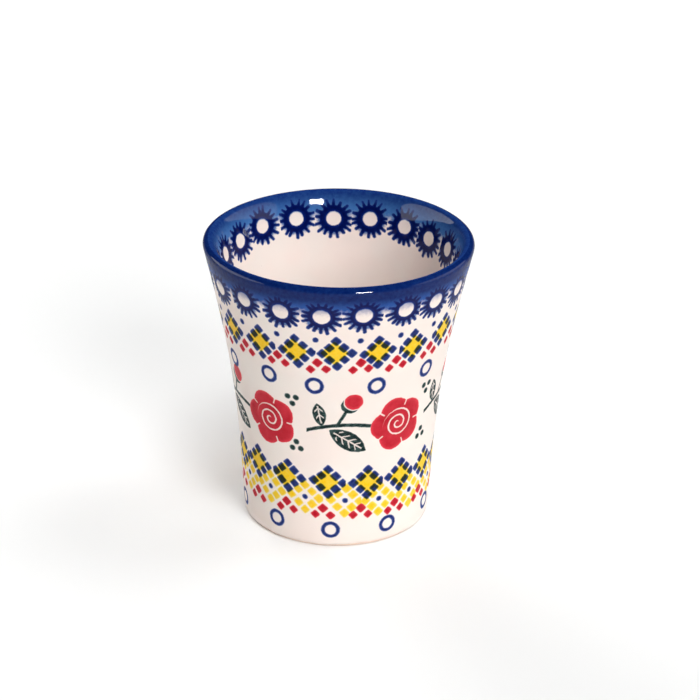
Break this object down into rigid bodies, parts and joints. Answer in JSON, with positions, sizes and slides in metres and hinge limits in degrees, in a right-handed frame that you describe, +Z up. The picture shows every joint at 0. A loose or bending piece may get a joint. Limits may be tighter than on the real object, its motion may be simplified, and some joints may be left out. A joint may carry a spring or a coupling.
{
  "type": "stoneware tumbler",
  "caption": "Small flared stoneware tumbler with a rounded lip, glazed inside and out and stamped with floral and dotted bands, on a bare foot ring.",
  "frame": {"origin": "centre of the foot ring's flat underside, on the surface the tumbler stands on", "axes": "+Z up along the axis of revolution, out of the mouth; +X and +Y lie on the standing surface, and a spray of flowers and its rose face -Y"},
  "size_m": [0.078, 0.078, 0.0865],
  "materials": {
    "stoneware": "matt, bare fired clay",
    "glaze": "gloss, stamped in cobalt blue, yellow, red and dark green under the glaze",
    "base_glaze": "gloss, plain"
  },
  "bodies": {
    "root": {"stoneware_body": "stoneware", "glaze_coat": "glaze", "base_glaze": "base_glaze"}
  },
  "joints": []
}
